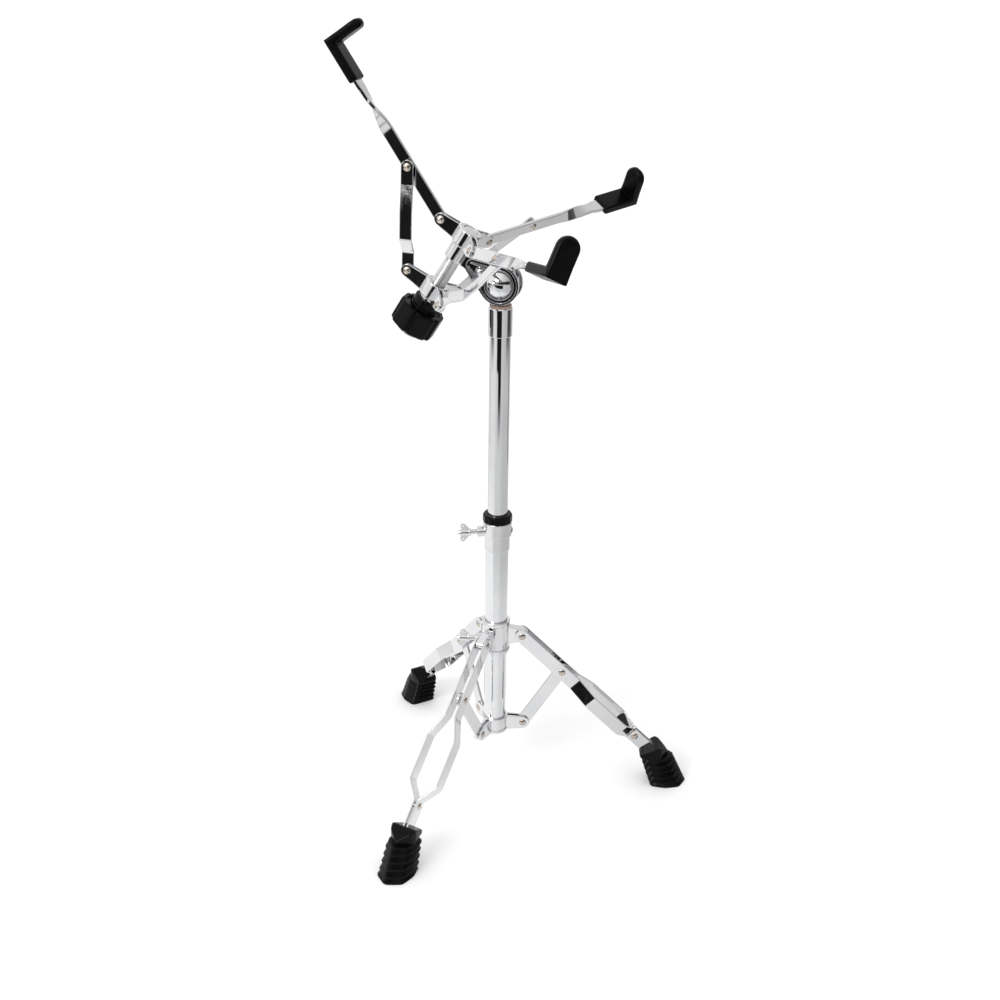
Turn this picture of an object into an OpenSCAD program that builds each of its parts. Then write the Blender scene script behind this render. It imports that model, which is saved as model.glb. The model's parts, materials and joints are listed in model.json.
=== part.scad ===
// Height-adjustable drum stand: folding tripod, sliding mast, ball tilter and a three-arm basket.
// Millimetres, +Z up. The origin is the floor point under the mast axis; leg 1 points along +X.

/* [Tubes] */
// Outer diameter of the base tube
base_od = 25.4; // [25:0.1:26]
// Outer diameter of the sliding upper tube
upper_od = 22.2; // [20:0.1:22.4]
// Wall thickness of both tubes
tube_wall = 1.2; // [0.8:0.1:1.4]
// Height of the lower end of the base tube above the floor
base_bottom = 71.2; // [70.5:0.1:73]
// Height of the upper end of the base tube
base_top = 326; // [320:1:330]
// Height of the lower end of the upper tube
upper_bottom = 275; // [200:1:290]

/* [Tripod] */
// Distance of the leg pivots from the mast axis
leg_pivot_r = 30; // [28:0.5:32]
// Height of the leg pivots above the floor
leg_pivot_z = 198.9; // [196:0.1:202]
// Slope of the legs below the horizontal, in degrees
leg_slope = 44.8; // [42:0.1:48]
// Distance from the leg pivot to the brace rivet, along the leg
leg_rivet = 66.6; // [60:0.1:75]
// Width of the leg and brace straps
strap_w = 16; // [14:0.5:18]
// Thickness of one leg strap
strap_t = 2; // [1.5:0.1:2.5]
// Distance of the brace pivots on the lower hub from the mast axis
brace_pivot_r = 33.2; // [30:0.1:35]
// Height of the brace pivots above the floor
brace_pivot_z = 80.65; // [78:0.05:84]
// Distance of a foot's inner edge from the mast axis
foot_in = 188; // [186:0.5:190]
// Distance of a foot's outer point from the mast axis
foot_out = 233; // [228:0.5:240]
// Width of a foot across the leg
foot_w = 36; // [34:1:42]

/* [Tilter] */
// Height of the ball's centre above the floor
ball_z = 606.2; // [605.6:0.1:610]
// Radius of the ball
ball_r = 16.5; // [15:0.1:17]
// Tilt of the basket's rod from the vertical, in degrees
tilt = 31.6; // [0:0.1:60]
// Direction in which the basket leans, in degrees from +X
lean_dir = -14.6; // [-180:1:180]
// Distance from the ball's centre to the rod's axis
rod_offset = 53.8; // [52:0.1:56]
// Height of the arm pivots above the ball, along the rod
hub_rise = 18.8; // [18:0.1:22]

/* [Basket] */
// Radius of the threaded rod
rod_r = 8; // [7:0.1:8.5]
// Distance of the arm pivots from the rod's axis
arm_pivot_r = 31.3; // [29:0.1:33]
// Slope of the arms above the plane square to the rod, in degrees
arm_slope = 24.7; // [10:0.1:40]
// Length of an arm from its pivot to the middle of its corner
arm_len = 195.4; // [180:0.1:205]
// Distance from the arm's pivot to its link rivet
arm_rivet = 59.8; // [55:0.1:65]
// Height of the arm's upright, from the middle of the bar to the grip's top
upright_h = 36; // [32:0.5:46]
// Distance of the link pivots on the slider from the rod's axis
link_pivot_r = 33.8; // [31:0.1:35]
// Distance from the arm pivots' plane down to the slider pivots' plane
hub_gap = 65.5; // [60:0.1:67]
// Width across the clamping knob
knob_d = 49; // [44:1:54]

/* [Hidden] */
$fn = 64;
fuse = 1;              // overlap that joins two solids of one piece
play = 0.4;            // gap beside a strap that turns between two others
pin_r = 2.5;           // shank of every rivet
pin_play = 0.1;        // radial play of a rivet or a bolt in a hole it turns in
fixed_play = 0.05;     // radial play of a rivet or a tube in a hole it is fixed in
head_r = 4.2;          // head of every rivet
head_h = 1.6;
thirds = [0, 120, 240];

// Tripod: the leg straps run close together, swell around the lower hub and close again.
leg_gap = 10;                            // clear width between the straps at the collar
leg_bow = 17;                            // half width of the swelling, to the strap's middle
strap_mid = leg_gap / 2 + strap_t / 2;
strap_end = 2.2;                         // half the spacing of the straps at the foot
leg_route = [[-strap_w / 2, strap_mid], [88, strap_mid], [115, leg_bow], [168, leg_bow],
             [187, strap_end], [228, strap_end]];
brace_t = 3;
brace_top = [leg_pivot_r + leg_rivet * cos(leg_slope), leg_pivot_z - leg_rivet * sin(leg_slope)];
brace_run = brace_top - [brace_pivot_r, brace_pivot_z];
brace_len = norm(brace_run);
collar_h = 40;
collar_bolt_drop = 5.5;  // the collar's bolt sits this far below the leg pivots
collar_bore = base_od / 2 + 0.3;
hub_ear_t = 2;
foot_fins = 5;
fin_pitch = 7.6;
fin_t = 2.6;
fin_depth = 3;

// Height clamp
clamp_top = 342;
clamp_bolt_z = 330;
clamp_turn = 10;        // direction of the clamp's bolt, past -X towards -Y, in degrees
bushing_h = 9;

// Wing bolts
bolt_r = 3;
wing_span = 21;
wing_t = 3;

// Mast top
sleeve_od = 25;
sleeve_top = 582;
sleeve_h = 30;
washer_h = 2.5;
neck_r = 5.5;

// Tilter
cheek_in = 6.3;                          // distance of the cheeks' inner faces from the middle
cheek_t = 3.9;
cheek_r = 20.7;
bolt_x = -22.5;                          // place of the clamp bolt between the ball and the rod

// Basket
bar_w = 12.5;
bar_t = 4;
flat_w = 16;
twist_start = 95;
twist_len = 27;
link_w = 13;
link_t = 2.5;
link_side = 6.45;                        // distance of a link's middle plane from its arm's, at the rivet
link_bow = 8.85;                         // the same where it passes the arm's pivot
grip_start = 153.5;
grip_w = 23;
grip_t = 9.5;
grip_slack = 0.05;
slider_fit = 0.3;
rod_top = 8;
rod_bottom = -118;
rod_flat = 6.4;
link_top = [arm_pivot_r + arm_rivet * cos(arm_slope), arm_rivet * sin(arm_slope)];
link_run = [link_pivot_r, -hub_gap] - link_top;
link_len = norm(link_run);
link_route = [[-link_w / 2, link_side], [17, link_side], [43, link_bow], [72.5, link_bow], [85, 0],
              [link_len + link_w / 2, 0]];
knob_h = 26;
knob_boss_h = 11;

// Outline of a band of width w that follows the points p.
function turn(v) = [-v[1], v[0]] / norm(v);
function side_at(p, i) =
    let (a = turn(p[max(i, 1)] - p[max(i, 1) - 1]), b = turn(p[min(i + 1, len(p) - 1)] - p[min(i, len(p) - 2)]),
         m = a + b)
    m / (m * a);
function band(p, w) = concat(
    [for (i = [0:len(p) - 1]) p[i] + side_at(p, i) * w / 2],
    [for (i = [len(p) - 1:-1:0]) p[i] - side_at(p, i) * w / 2]);

// The outline of two discs and the band between their outer tangents.
module tapered(p, rp, q, rq) {
    steps = 20;
    d = q - p;
    base = atan2(d[1], d[0]);
    lean = acos((rp - rq) / norm(d));
    polygon(concat(
        [for (j = [0:steps]) let (a = base + lean + (360 - 2 * lean) * j / steps) p + rp * [cos(a), sin(a)]],
        [for (j = [0:steps]) let (a = base - lean + 2 * lean * j / steps) q + rq * [cos(a), sin(a)]]));
}

// A flat outline stood up in the XZ plane, th thick and centred on y.
module upright(th, y = 0) {
    translate([0, y + th / 2, 0]) rotate([90, 0, 0]) linear_extrude(th) children();
}

// A rod along Y, centred on y.
module cross_rod(r, len, y = 0) {
    translate([0, y + len / 2, 0]) rotate([90, 0, 0]) cylinder(r = r, h = len);
}

// A domed rivet head with a dimple, on a face at y and standing out towards s.
module rivet_head(y, s) {
    dome = (head_r * head_r + head_h * head_h) / (2 * head_h);
    translate([0, y, 0]) rotate([-90 * s, 0, 0]) rotate_extrude() difference() {
        intersection() {
            translate([0, head_h - dome]) circle(dome);
            square([head_r, head_h]);
        }
        translate([0, head_h + 0.9]) circle(1.6);
    }
}

// A rivet along Y with a head on each outer face.
module rivet(y0, y1) {
    cross_rod(pin_r, y1 - y0 + fuse, (y0 + y1) / 2);
    rivet_head(y0, -1);
    rivet_head(y1, 1);
}

// A wing bolt along +X: its tip at the origin, then a shank and a tapered head of the given lengths.
module wing_bolt(shank, head) {
    rotate([0, 90, 0]) cylinder(r = bolt_r, h = shank + fuse);
    translate([shank, 0, 0]) rotate([0, 90, 0]) rotate_extrude()
        polygon([[0, 0], [4.8, 0], [4.8, 1.5], [4.2, 2.2], [3.3, head - 2], [2.4, head], [0, head]]);
    translate([shank, 0, 0]) upright(wing_t) for (s = [-1, 1])
        difference() {
            tapered([5, s * 2], 4, [8.5, s * (wing_span / 2 - 2.8)], 2.8);
            translate([8.5, s * (wing_span / 2 - 2.8)]) circle(1.2);
        }
}

module leg_frame(i) rotate([0, 0, thirds[i]]) translate([leg_pivot_r, 0, leg_pivot_z])
    rotate([0, leg_slope, 0]) children();
module brace_frame(i) rotate([0, 0, thirds[i]]) translate([brace_pivot_r, 0, brace_pivot_z])
    rotate([0, -atan2(brace_run[1], brace_run[0]), 0]) children();
module ball_frame() translate([0, 0, ball_z]) rotate([0, 0, lean_dir]) rotate([0, tilt, 0]) children();
module rod_frame() ball_frame() translate([-rod_offset, 0, hub_rise]) rotate([0, 0, 180]) children();
module arm_frame(i) rod_frame() rotate([0, 0, thirds[i]]) translate([arm_pivot_r, 0, 0])
    rotate([0, -arm_slope, 0]) children();
module link_frame(i) rod_frame() rotate([0, 0, thirds[i]]) translate([link_top[0], 0, link_top[1]])
    rotate([0, -atan2(link_run[1], link_run[0]), 0]) children();

// ---- Base -------------------------------------------------------------------------------------

module base_tube() color("silver") translate([0, 0, base_bottom]) difference() {
    cylinder(d = base_od, h = base_top - base_bottom);
    translate([0, 0, -fuse]) cylinder(d = base_od - 2 * tube_wall, h = base_top - base_bottom + 2 * fuse);
}

module tube_plug() color("dimgray") translate([0, 0, base_bottom]) difference() {
    cylinder(r = base_od / 2 - tube_wall - fixed_play, h = 6.2);
    translate([0, 0, -fuse]) cylinder(r = 7, h = 10);
}

// A pair of ears, sheet th thick with a gap between them, from a hub of radius r0 to a pivot at r1.
module ear_pair(th, gap, r0, r1, root_r, end_r) {
    for (s = [-1, 1]) difference() {
        upright(th, s * (gap + th) / 2) tapered([r0, 0], root_r, [r1, 0], end_r);
        translate([r1, 0, 0]) cross_rod(pin_r + fixed_play, 40);
    }
}

module lower_hub() color("silver") difference() {
    translate([0, 0, brace_pivot_z]) {
        translate([0, 0, -9.5]) cylinder(r = 15.2, h = 3);
        translate([0, 0, -9.5]) cylinder(r = 14.4, h = 19);
        translate([0, 0, 6.5]) cylinder(r = 15.2, h = 3);
        for (a = thirds) rotate([0, 0, a])
            ear_pair(hub_ear_t, brace_t + 2 * play, base_od / 2 + 3, brace_pivot_r, 9, 7.5);
    }
    translate([0, 0, brace_pivot_z - 20]) cylinder(r = base_od / 2 + fixed_play, h = 40);
}

module lower_hub_rivets() color("tan") {
    half = brace_t / 2 + play + hub_ear_t;
    for (a = thirds) rotate([0, 0, a]) translate([brace_pivot_r, 0, brace_pivot_z]) rivet(-half, half);
}

// The clamp bolt's frame: its axis along +Z, away from the tube.
module clamp_bolt_frame() translate([0, 0, clamp_bolt_z])
    rotate([0, 0, clamp_turn]) rotate([0, -90, 0]) children();

module height_clamp() color("silver") difference() {
    union() {
        translate([0, 0, clamp_top - 34]) cylinder(d = 27.7, h = 17 + fuse);
        translate([0, 0, clamp_top - 17]) rotate_extrude()
            polygon([[0, 0], [15.15, 0], [15.75, 0.6], [15.75, 16.4], [15.15, 17], [0, 17]]);
        clamp_bolt_frame() cylinder(r = 6, h = 22);
    }
    translate([0, 0, clamp_top - 40]) cylinder(r = base_od / 2 + fixed_play, h = 60);
    clamp_bolt_frame() translate([0, 0, 10]) cylinder(r = bolt_r + pin_play, h = 20);
    clamp_bolt_frame() translate([0, 0, -20]) cylinder(r = pin_r + fixed_play, h = 10);
}

module clamp_bushing() color("black") difference() {
    union() {
        translate([0, 0, clamp_top]) cylinder(d = 32.5, h = bushing_h - 1.2, $fn = 12);
        translate([0, 0, clamp_top]) cylinder(d = 30, h = bushing_h);
        translate([0, 0, base_top]) cylinder(d = base_od, h = clamp_top - base_top + fuse);
    }
    translate([0, 0, base_top - fuse]) cylinder(r = upper_od / 2 + pin_play, h = 40);
}

module clamp_rivet() color("tan") translate([0, 0, clamp_bolt_z]) rotate([0, 0, clamp_turn - 90]) {
    translate([0, 14.4, 0]) cross_rod(pin_r, 2.8);
    rivet_head(15.75, 1);
}

module height_wing_bolt() color("silver")
    clamp_bolt_frame() translate([0, 0, base_od / 2 + 0.3]) rotate([0, -90, 0]) wing_bolt(17, 14);

// ---- Tripod -----------------------------------------------------------------------------------

module leg_collar() color("silver") difference() {
    translate([0, 0, leg_pivot_z]) {
        translate([0, 0, -collar_h / 2]) cylinder(r = 14.9, h = collar_h);
        translate([0, 0, -collar_h / 2 + 5]) cylinder(r = 15.4, h = collar_h - 10, $fn = 12);
        for (z = [-collar_h / 2, collar_h / 2 - 4.5]) translate([0, 0, z]) rotate_extrude()
            polygon([[0, 0], [15.6, 0], [16.2, 0.6], [16.2, 3.9], [15.6, 4.5], [0, 4.5]]);
        for (a = thirds) rotate([0, 0, a])
            upright(leg_gap - 2 * play) tapered([13, 0], 11, [leg_pivot_r, 0], 7.6);
        translate([0, 0, -collar_bolt_drop]) rotate([0, -90, 0]) cylinder(r = 6, h = 22);
    }
    translate([0, 0, leg_pivot_z - 40]) cylinder(r = collar_bore, h = 80);
    translate([-10, 0, leg_pivot_z - collar_bolt_drop]) rotate([0, -90, 0])
        cylinder(r = bolt_r + pin_play, h = 20);
    for (a = thirds) rotate([0, 0, a]) translate([leg_pivot_r, 0, leg_pivot_z])
        cross_rod(pin_r + pin_play, 40);
}

module leg_wing_bolt() color("silver")
    translate([-base_od / 2 - 0.3, 0, leg_pivot_z - collar_bolt_drop]) rotate([0, 0, 180]) wing_bolt(17, 14);

// One of the two straps of leg i, on its left or right side.
module leg_strap(i, side) color("silver") leg_frame(i) difference() {
    intersection() {
        linear_extrude(strap_w, center = true)
            polygon(band([for (p = leg_route) [p[0], side * p[1]]], strap_t));
        upright(60) {
            circle(strap_w / 2);
            translate([0, -strap_w / 2]) square([300, strap_w]);
        }
    }
    for (t = [0, leg_rivet]) translate([t, 0, 0]) cross_rod(pin_r + fixed_play, 60);
    translate([193, 0, 0]) cross_rod(pin_r + fixed_play, 60);
}

// The pivot rivet, the two halves of the brace rivet and the rivet that closes the straps.
module leg_rivets(i) color("tan") leg_frame(i) {
    outer = leg_gap / 2 + strap_t;
    rivet(-outer, outer);
    translate([leg_rivet, 0, 0]) for (s = [-1, 1]) {
        translate([0, s * (outer - strap_t / 2), 0]) cross_rod(pin_r, strap_t);
        rivet_head(s * outer, s);
    }
    translate([193, 0, 0]) rivet(-strap_end - strap_t / 2, strap_end + strap_t / 2);
}

// Plan of a foot: bowed sides that meet in a blunt point on the outside.
module foot_plan(inner, outer, half_w) {
    polygon([[inner, -0.8 * half_w], [inner + 18, -half_w], [outer - 10, -0.84 * half_w], [outer, 0],
             [outer - 10, 0.84 * half_w], [inner + 18, half_w], [inner, 0.8 * half_w]]);
}

// A rubber foot: five fins that grow towards the floor, and a block around the ends of the straps.
module leg_foot(i) color("black") rotate([0, 0, thirds[i]]) difference() {
    top = foot_fins * fin_pitch;
    union() {
        for (k = [0:foot_fins - 1]) {
            inner = foot_in - 2.6 * k;
            outer = foot_out - 3.6 * k;
            half_w = foot_w / 2 - 0.5 * k;
            translate([0, 0, k * fin_pitch]) {
                linear_extrude(fin_t) foot_plan(inner, outer, half_w);
                linear_extrude(fin_pitch + 0.5)
                    foot_plan(inner + fin_depth / 2, outer - fin_depth, half_w - fin_depth);
            }
        }
        intersection() {
            upright(2 * foot_w) polygon([[173, top - 2], [209, top - 2], [209, top + 3], [207, top + 5.5],
                [196.5, top + 13.6], [193, top + 14.2], [174, top + 2.6]]);
            linear_extrude(80) foot_plan(172, 210, 15.5);
        }
    }
    translate([leg_pivot_r, 0, leg_pivot_z]) rotate([0, leg_slope, 0]) for (s = [-1, 1])
        translate([180, s * strap_end - strap_t / 2 - fixed_play, -strap_w / 2 - fixed_play])
            cube([48 + fixed_play, strap_t + 2 * fixed_play, strap_w + 2 * fixed_play]);
}

module brace(i) color("silver") brace_frame(i) difference() {
    upright(brace_t) tapered([0, 0], strap_w / 2 - 0.5, [brace_len, 0], strap_w / 2 - 0.5);
    cross_rod(pin_r + pin_play, 10);
    translate([brace_len, 0, 0]) cross_rod(pin_r + pin_play, 10);
}

// ---- Mast -------------------------------------------------------------------------------------

module upper_tube() color("silver") translate([0, 0, upper_bottom]) difference() {
    cylinder(d = upper_od, h = sleeve_top - 4 - upper_bottom);
    translate([0, 0, -fuse]) cylinder(d = upper_od - 2 * tube_wall, h = sleeve_top - upper_bottom);
}

module mast_sleeve() color("silver") translate([0, 0, sleeve_top - sleeve_h]) difference() {
    rotate_extrude() polygon([[0, 0], [sleeve_od / 2 - 0.5, 0], [sleeve_od / 2, 0.5],
        [sleeve_od / 2, sleeve_h - 1], [sleeve_od / 2 - 1, sleeve_h], [0, sleeve_h]]);
    translate([0, 0, -fuse]) cylinder(r = upper_od / 2 + fixed_play, h = sleeve_h - 4 + fuse);
    cylinder(r = neck_r + pin_play, h = 2 * sleeve_h);
}

module sleeve_washer() color("rosybrown") translate([0, 0, sleeve_top]) difference() {
    cylinder(r = 11.4, h = washer_h);
    translate([0, 0, -fuse]) cylinder(r = neck_r + pin_play, h = 10);
}

module ball_stud() color("silver") {
    translate([0, 0, ball_z]) sphere(ball_r, $fn = 96);
    translate([0, 0, sleeve_top - 10]) cylinder(r = neck_r, h = ball_z - sleeve_top);
    translate([0, 0, sleeve_top - 12]) cylinder(r = 8.5, h = 7.5);
}

// ---- Tilter -----------------------------------------------------------------------------------

// A drop-shaped cheek with a seat for the ball, on side s of the tilt plane.
module tilter_cheek(s) color("gray") ball_frame() difference() {
    upright(cheek_t, s * (cheek_in + cheek_t / 2)) {
        tapered([0, 0], cheek_r, [-33, 1], 8.5);
        translate([-43.4, -6]) square([11.4, 13]);
    }
    sphere(ball_r + 0.3, $fn = 96);
    translate([bolt_x, 0, 0]) cross_rod(bolt_r + (s > 0 ? pin_play : fixed_play), 40);
    upright(2.4, s * (cheek_in + cheek_t)) difference() {
        tapered([0, 0], cheek_r - 2.2, [-33, 1], 6.3);
        circle(15.2);
        translate([bolt_x, 0]) circle(5.4);
        for (m = [-1, 1]) polygon([[-14, 11.4 * m], [-36, 3.4 * m], [-36, 2 * m], [-14, 8.6 * m]]);
    }
}

module tilter_wing_bolt() color("silver") ball_frame() {
    reach = cheek_in + cheek_t;
    translate([bolt_x, -reach, 0]) rivet_head(0, -1);
    translate([bolt_x, -reach, 0]) rotate([0, 0, 90]) wing_bolt(2 * reach + 1.3, 10.5);
}

// ---- Basket -----------------------------------------------------------------------------------

// A hub on the rod with three pairs of ears; its lower neck is neck_h long.
module eared_hub(pivot_r, gap, neck_h) {
    translate([0, 0, -9]) rotate_extrude()
        polygon([[0, 0], [12.6, 0], [13.4, 0.8], [13.4, 16], [12.2, 17.2], [0, 17.2]]);
    translate([0, 0, -9 - neck_h]) cylinder(r = 11, h = neck_h + fuse);
    for (a = thirds) rotate([0, 0, a]) ear_pair(2, gap, 10, pivot_r, 8.2, 6.4);
}

module arm_hub() color("silver") rod_frame() difference() {
    union() {
        eared_hub(arm_pivot_r, bar_t + 2 * play, 17);
        translate([-26, -cheek_in + 0.05, -hub_rise - 7]) cube([20, 2 * cheek_in - 0.1, 15]);
    }
    translate([0, 0, -40]) cylinder(r = rod_r + fixed_play, h = 80);
}

module arm_hub_rivets() color("tan") rod_frame() {
    half = bar_t / 2 + play + 2;
    for (a = thirds) rotate([0, 0, a]) translate([arm_pivot_r, 0, 0]) rivet(-half, half);
}

module basket_rod() color("silver") rod_frame() difference() {
    translate([0, 0, rod_bottom]) cylinder(r = rod_r, h = rod_top - rod_bottom);
    translate([-20, -rod_r - rod_flat, rod_bottom - fuse]) cube([40, rod_r, -30 - rod_bottom]);
}

module rod_end_washer() color("silver") rod_frame() translate([0, 0, rod_bottom - 3]) rotate_extrude()
    polygon([[0, 0], [11.4, 0], [12, 0.6], [12, 1.8], [9.5, 3], [0, 3]]);

// An arm: an upright bar at the pivot, a quarter twist, then a flat bar that turns up at its end.
module arm(i) color("silver") arm_frame(i) {
    difference() {
        union() {
            upright(bar_t) {
                circle(bar_w / 2);
                translate([0, -bar_w / 2]) square([twist_start, bar_w]);
            }
        }
        cross_rod(pin_r + pin_play, 20);
        translate([arm_rivet, 0, 0]) cross_rod(pin_r + fixed_play, 20);
    }
    translate([twist_start, 0, 0]) rotate([0, 90, 0])
        linear_extrude(twist_len, twist = 90, slices = 12, segments = 4) square([bar_w, bar_t], center = true);
    translate([twist_start + twist_len, -bar_w / 2, -bar_t / 2])
        cube([grip_start + 4 - twist_start - twist_len, bar_w, bar_t]);
    translate([grip_start - 12, -flat_w / 2, -bar_t / 2])
        cube([arm_len + bar_t / 2 - grip_start + 12, flat_w, bar_t]);
    translate([arm_len - bar_t / 2, -flat_w / 2, 0]) cube([bar_t, flat_w, upright_h - 8]);
}

module arm_rivet(i) color("tan") arm_frame(i) translate([arm_rivet, 0, 0]) {
    near = link_side - link_t / 2;
    far = link_side + link_t / 2;
    rivet_head(-bar_t / 2, -1);
    cross_rod(pin_r, far + bar_t / 2 + 0.3, (far + 0.3 - bar_t / 2) / 2);
    cross_rod(head_r, near - 0.1 - bar_t / 2, (near - 0.1 + bar_t / 2) / 2);
    rivet_head(far + 0.1, 1);
}

// The space that an arm's flat bar and its upright take in the grip, with a little slack.
module grip_slot() {
    reach = arm_len + bar_t / 2 + grip_slack - grip_start + 5;
    translate([grip_start - 5, -flat_w / 2 - grip_slack, -bar_t / 2 - grip_slack])
        cube([reach, flat_w + 2 * grip_slack, bar_t + 2 * grip_slack]);
    translate([arm_len - bar_t / 2 - grip_slack, -flat_w / 2 - grip_slack, 0])
        cube([bar_t + 2 * grip_slack, flat_w + 2 * grip_slack, upright_h - 8 + grip_slack]);
}

// The half of a rubber grip that sleeves the flat bar; the drum's hoop rests on it.
module grip_sleeve(i) color("black") arm_frame(i) difference() {
    translate([grip_start, -grip_w / 2, -grip_t / 2]) cube([arm_len - grip_t / 2 - grip_start, grip_w, grip_t]);
    grip_slot();
}

// The half of a rubber grip that stands over the upright, with a round top.
module grip_pad(i) color("black") arm_frame(i) difference() {
    translate([arm_len - grip_t / 2, 0, 0]) rotate([90, 0, 90]) linear_extrude(grip_t) {
        translate([-grip_w / 2, -grip_t / 2]) square([grip_w, upright_h - grip_w / 2 + grip_t / 2]);
        translate([0, upright_h - grip_w / 2]) circle(grip_w / 2);
    }
    grip_slot();
}

// A link: beside its arm at the rivet, bowed out past the arm's pivot, stepped in between the slider's ears.
module link(i) color("silver") link_frame(i) difference() {
    intersection() {
        linear_extrude(link_w, center = true) polygon(band(link_route, link_t));
        upright(60) tapered([0, 0], link_w / 2, [link_len, 0], link_w / 2);
    }
    cross_rod(pin_r + pin_play, 60);
    translate([link_len, 0, 0]) cross_rod(pin_r + pin_play, 60);
}

module basket_slider() color("silver") rod_frame() translate([0, 0, -hub_gap]) difference() {
    eared_hub(link_pivot_r, link_t + 2 * play, 3);
    translate([0, 0, -40]) cylinder(r = rod_r + slider_fit, h = 80);
}

// Two half rivets at each pair of the slider's ears.
module slider_rivets() color("tan") rod_frame() translate([0, 0, -hub_gap]) {
    half = link_t / 2 + play + 2;
    for (a = thirds) rotate([0, 0, a]) translate([link_pivot_r, 0, 0]) for (s = [-1, 1]) {
        translate([0, s * (half - 1), 0]) cross_rod(pin_r, 2);
        rivet_head(s * half, s);
    }
}

// The clamping knob: six broad lobes with a round boss that bears on the slider.
module basket_knob() color("black") rod_frame() translate([0, 0, -hub_gap - 12.3]) difference() {
    union() {
        translate([0, 0, -knob_boss_h]) cylinder(r = 14.5, h = knob_boss_h);
        translate([0, 0, -knob_boss_h - knob_h]) linear_extrude(knob_h) difference() {
            intersection() {
                circle(knob_d / 2);
                circle(knob_d / 2 + 3.2, $fn = 6);
            }
            for (a = [30:60:330]) rotate(a) translate([knob_d / 2 + 1.2, 0]) circle(3.4);
        }
    }
    translate([0, 0, -60]) cylinder(r = 11, h = 80);
}

module knob_nut() color("darkgoldenrod") rod_frame() translate([0, 0, -hub_gap - 12.3]) difference() {
    translate([0, 0, -knob_boss_h - knob_h + 0.5]) cylinder(r = 11 - fixed_play, h = knob_boss_h + knob_h - 1);
    translate([0, 0, -60]) cylinder(r = rod_r + pin_play, h = 80);
}

base_tube();
tube_plug();
lower_hub();
lower_hub_rivets();
height_clamp();
clamp_bushing();
clamp_rivet();
height_wing_bolt();
leg_collar();
leg_wing_bolt();
for (i = [0:2]) {
    leg_strap(i, 1);
    leg_strap(i, -1);
    leg_rivets(i);
    leg_foot(i);
    brace(i);
    arm(i);
    arm_rivet(i);
    grip_sleeve(i);
    grip_pad(i);
    link(i);
}
upper_tube();
mast_sleeve();
sleeve_washer();
ball_stud();
tilter_cheek(-1);  // tilter_cheek_front
tilter_cheek(1);  // tilter_cheek_rear
tilter_wing_bolt();
arm_hub();
arm_hub_rivets();
basket_rod();
rod_end_washer();
basket_slider();
slider_rivets();
basket_knob();
knob_nut();
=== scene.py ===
"""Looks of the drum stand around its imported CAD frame. Blender 4.5, metres, the CAD's own frame."""
import json
import math
import bpy
import bmesh
from mathutils import Matrix, Quaternion, Vector


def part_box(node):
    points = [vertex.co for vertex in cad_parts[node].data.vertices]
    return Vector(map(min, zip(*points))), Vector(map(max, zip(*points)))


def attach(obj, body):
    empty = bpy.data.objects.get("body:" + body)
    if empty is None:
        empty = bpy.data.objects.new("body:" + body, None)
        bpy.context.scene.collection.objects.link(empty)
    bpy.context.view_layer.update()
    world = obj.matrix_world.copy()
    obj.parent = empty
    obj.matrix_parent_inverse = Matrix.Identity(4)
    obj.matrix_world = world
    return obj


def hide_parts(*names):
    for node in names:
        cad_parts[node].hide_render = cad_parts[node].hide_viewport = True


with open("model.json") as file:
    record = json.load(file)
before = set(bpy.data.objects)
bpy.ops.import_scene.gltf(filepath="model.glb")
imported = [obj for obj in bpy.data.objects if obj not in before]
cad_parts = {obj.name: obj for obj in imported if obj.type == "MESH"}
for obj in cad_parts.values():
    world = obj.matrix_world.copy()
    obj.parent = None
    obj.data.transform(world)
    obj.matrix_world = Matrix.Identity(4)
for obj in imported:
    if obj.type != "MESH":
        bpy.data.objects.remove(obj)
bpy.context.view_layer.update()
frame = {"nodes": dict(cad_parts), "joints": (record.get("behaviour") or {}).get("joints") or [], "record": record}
NODES = frame["nodes"]
JOINTS = {j["name"]: j for j in frame["joints"]}
BODY = {node: body for body, nodes in frame["record"]["behaviour"]["bodies"].items() for node in nodes}
SLOT = {p["node"]: p["material_slot"] for p in frame["record"]["subparts"]}
MM = 0.001
TAU = 2 * math.pi


# ---- Node trees -------------------------------------------------------------------------------

class Graph:
    """Arithmetic in a node tree. A value is a number or another node's output socket."""

    def __init__(self, tree):
        self.tree = tree

    def put(self, socket, value):
        if isinstance(value, bpy.types.NodeSocket):
            self.tree.links.new(value, socket)
        else:
            socket.default_value = value

    def add(self, kind, **inputs):
        """A new node. Its inputs are given by the socket's name, or by its number as i0, i1, i2."""
        node = self.tree.nodes.new(kind)
        for key, value in inputs.items():
            by_number = key[0] == "i" and key[1:].isdigit()
            self.put(node.inputs[int(key[1:]) if by_number else key], value)
        return node

    def calc(self, operation, a, b=0.0):
        node = self.add("ShaderNodeMath", i0=a, i1=b)
        node.operation = operation
        return node.outputs[0]

    def plus(self, a, b):
        return self.calc("ADD", a, b)

    def minus(self, a, b):
        return self.calc("SUBTRACT", a, b)

    def times(self, *factors):
        product = factors[0]
        for factor in factors[1:]:
            product = self.calc("MULTIPLY", product, factor)
        return product

    def ramp(self, value, low, high, out_low, out_high, kind="LINEAR"):
        """value, mapped from low..high to out_low..out_high and held there beyond."""
        node = self.add("ShaderNodeMapRange", Value=value)
        node.interpolation_type = kind
        names = ("From Min", "From Max", "To Min", "To Max")
        for name, limit in zip(names, (low, high, out_low, out_high)):
            self.put(node.inputs[name], limit)
        return node.outputs["Result"]

    def smooth(self, value, low, high, out_low=0.0, out_high=1.0):
        return self.ramp(value, low, high, out_low, out_high, "SMOOTHSTEP")

    def xyz(self, source):
        """The three outputs of a place, as the texture coordinate named source."""
        place = self.add("ShaderNodeTexCoord").outputs[source]
        return self.add("ShaderNodeSeparateXYZ", Vector=place).outputs


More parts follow.
